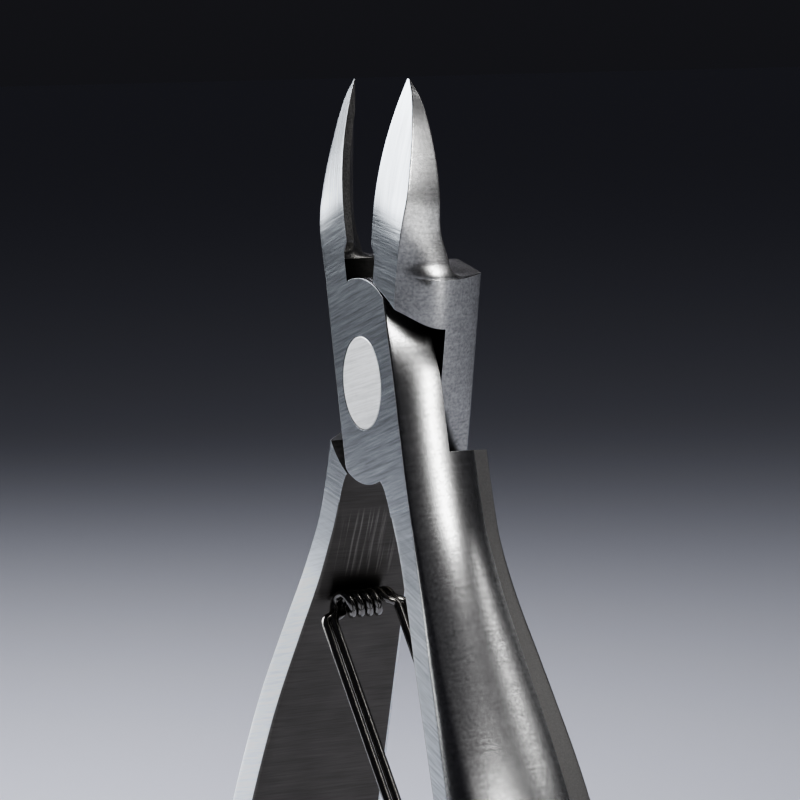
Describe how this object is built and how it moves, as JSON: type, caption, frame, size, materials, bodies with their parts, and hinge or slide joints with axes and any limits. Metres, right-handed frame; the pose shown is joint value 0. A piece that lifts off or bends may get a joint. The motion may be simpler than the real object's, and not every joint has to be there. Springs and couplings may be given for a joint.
{
  "type": "sprue nippers",
  "caption": "Lap-joint nippers with slim curved jaws, bowed handles on one flush rivet, and a doubled-wire spring that holds them open.",
  "frame": {"origin": "on the pivot axis, at the rear face of the lap joint", "axes": "+Z towards the tips with the jaws open at equal angles, +Y out of the rear face of the joint, +X towards the jaw of the rear lever"},
  "size_m": [0.06, 0.0117, 0.115],
  "materials": {
    "forged_steel": "brushed stainless steel on the ground faces, satin on the rounded sides",
    "ground_pin": "ground flush with the joint's faces, fine slanting grain",
    "spring_steel": "drawn spring wire, dark and glossy",
    "screw_steel": "turned steel screw with a slotted head"
  },
  "bodies": {
    "front_lever": {"front_lever": "forged_steel", "spring_screw": "screw_steel", "return_spring": "spring_steel"},
    "rear_lever": {"rear_lever": "forged_steel", "pivot_pin": "ground_pin"}
  },
  "joints": [
    {"name": "jaw_pivot", "type": "hinge", "parent": "front_lever", "child": "rear_lever", "pos_m": [0, -0.00315, 0], "axis": [0, -1, 0], "range_deg": [0, 23.7], "stiffness_Nm_per_rad": 1.2, "springref_deg": -2.86, "deforming": ["return_spring"]}
  ]
}
